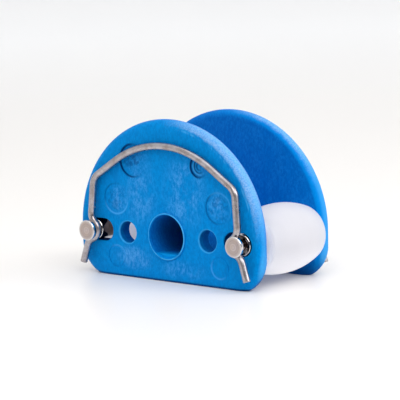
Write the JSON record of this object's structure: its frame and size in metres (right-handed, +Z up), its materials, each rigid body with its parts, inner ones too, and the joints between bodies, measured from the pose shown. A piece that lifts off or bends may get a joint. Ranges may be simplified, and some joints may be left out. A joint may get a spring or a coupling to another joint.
{
  "type": "twin-roller guide block",
  "caption": "Spring-loaded guide block: barrel rollers on sliding axle pins between D-shaped plastic cheeks, held by wire spring clips, with a D-bored central hub.",
  "frame": {"origin": "centre of the block's footprint on the surface that its cheeks stand on", "axes": "+X across the block from the left roller to the right roller, +Y along the axles from the front cheek to the rear cheek, +Z up"},
  "size_m": [0.1254, 0.0674, 0.078],
  "materials": {
    "blue_plastic": "moulded, slightly mottled satin",
    "white_plastic": "smooth, slightly translucent",
    "pin_steel": "turned stainless, polished shank",
    "wire_steel": "drawn stainless spring wire"
  },
  "bodies": {
    "frame": {"front_cheek": "blue_plastic", "rear_cheek": "blue_plastic", "centre_hub": "blue_plastic", "front_spring_clip": "wire_steel", "rear_spring_clip": "wire_steel"},
    "left_axle": {"left_axle_pin": "pin_steel"},
    "right_axle": {"right_axle_pin": "pin_steel"},
    "left_wheel": {"left_roller": "white_plastic"},
    "right_wheel": {"right_roller": "white_plastic"}
  },
  "joints": [
    {"name": "left_axle_travel", "type": "slide", "parent": "frame", "child": "left_axle", "axis": [1, 0, 0], "range_m": [0, 0.006], "stiffness_N_per_m": 9000, "springref_m": -0.0015, "deforming": ["front_spring_clip", "rear_spring_clip"]},
    {"name": "right_axle_travel", "type": "slide", "parent": "frame", "child": "right_axle", "axis": [-1, 0, 0], "range_m": [0, 0.006], "stiffness_N_per_m": 9000, "springref_m": -0.0015, "deforming": ["front_spring_clip", "rear_spring_clip"]},
    {"name": "left_roller_spin", "type": "hinge", "parent": "left_axle", "child": "left_wheel", "pos_m": [-0.0459, 0, 0.0213], "axis": [0, 1, 0], "continuous": true},
    {"name": "right_roller_spin", "type": "hinge", "parent": "right_axle", "child": "right_wheel", "pos_m": [0.0459, 0, 0.0213], "axis": [0, 1, 0], "continuous": true}
  ]
}
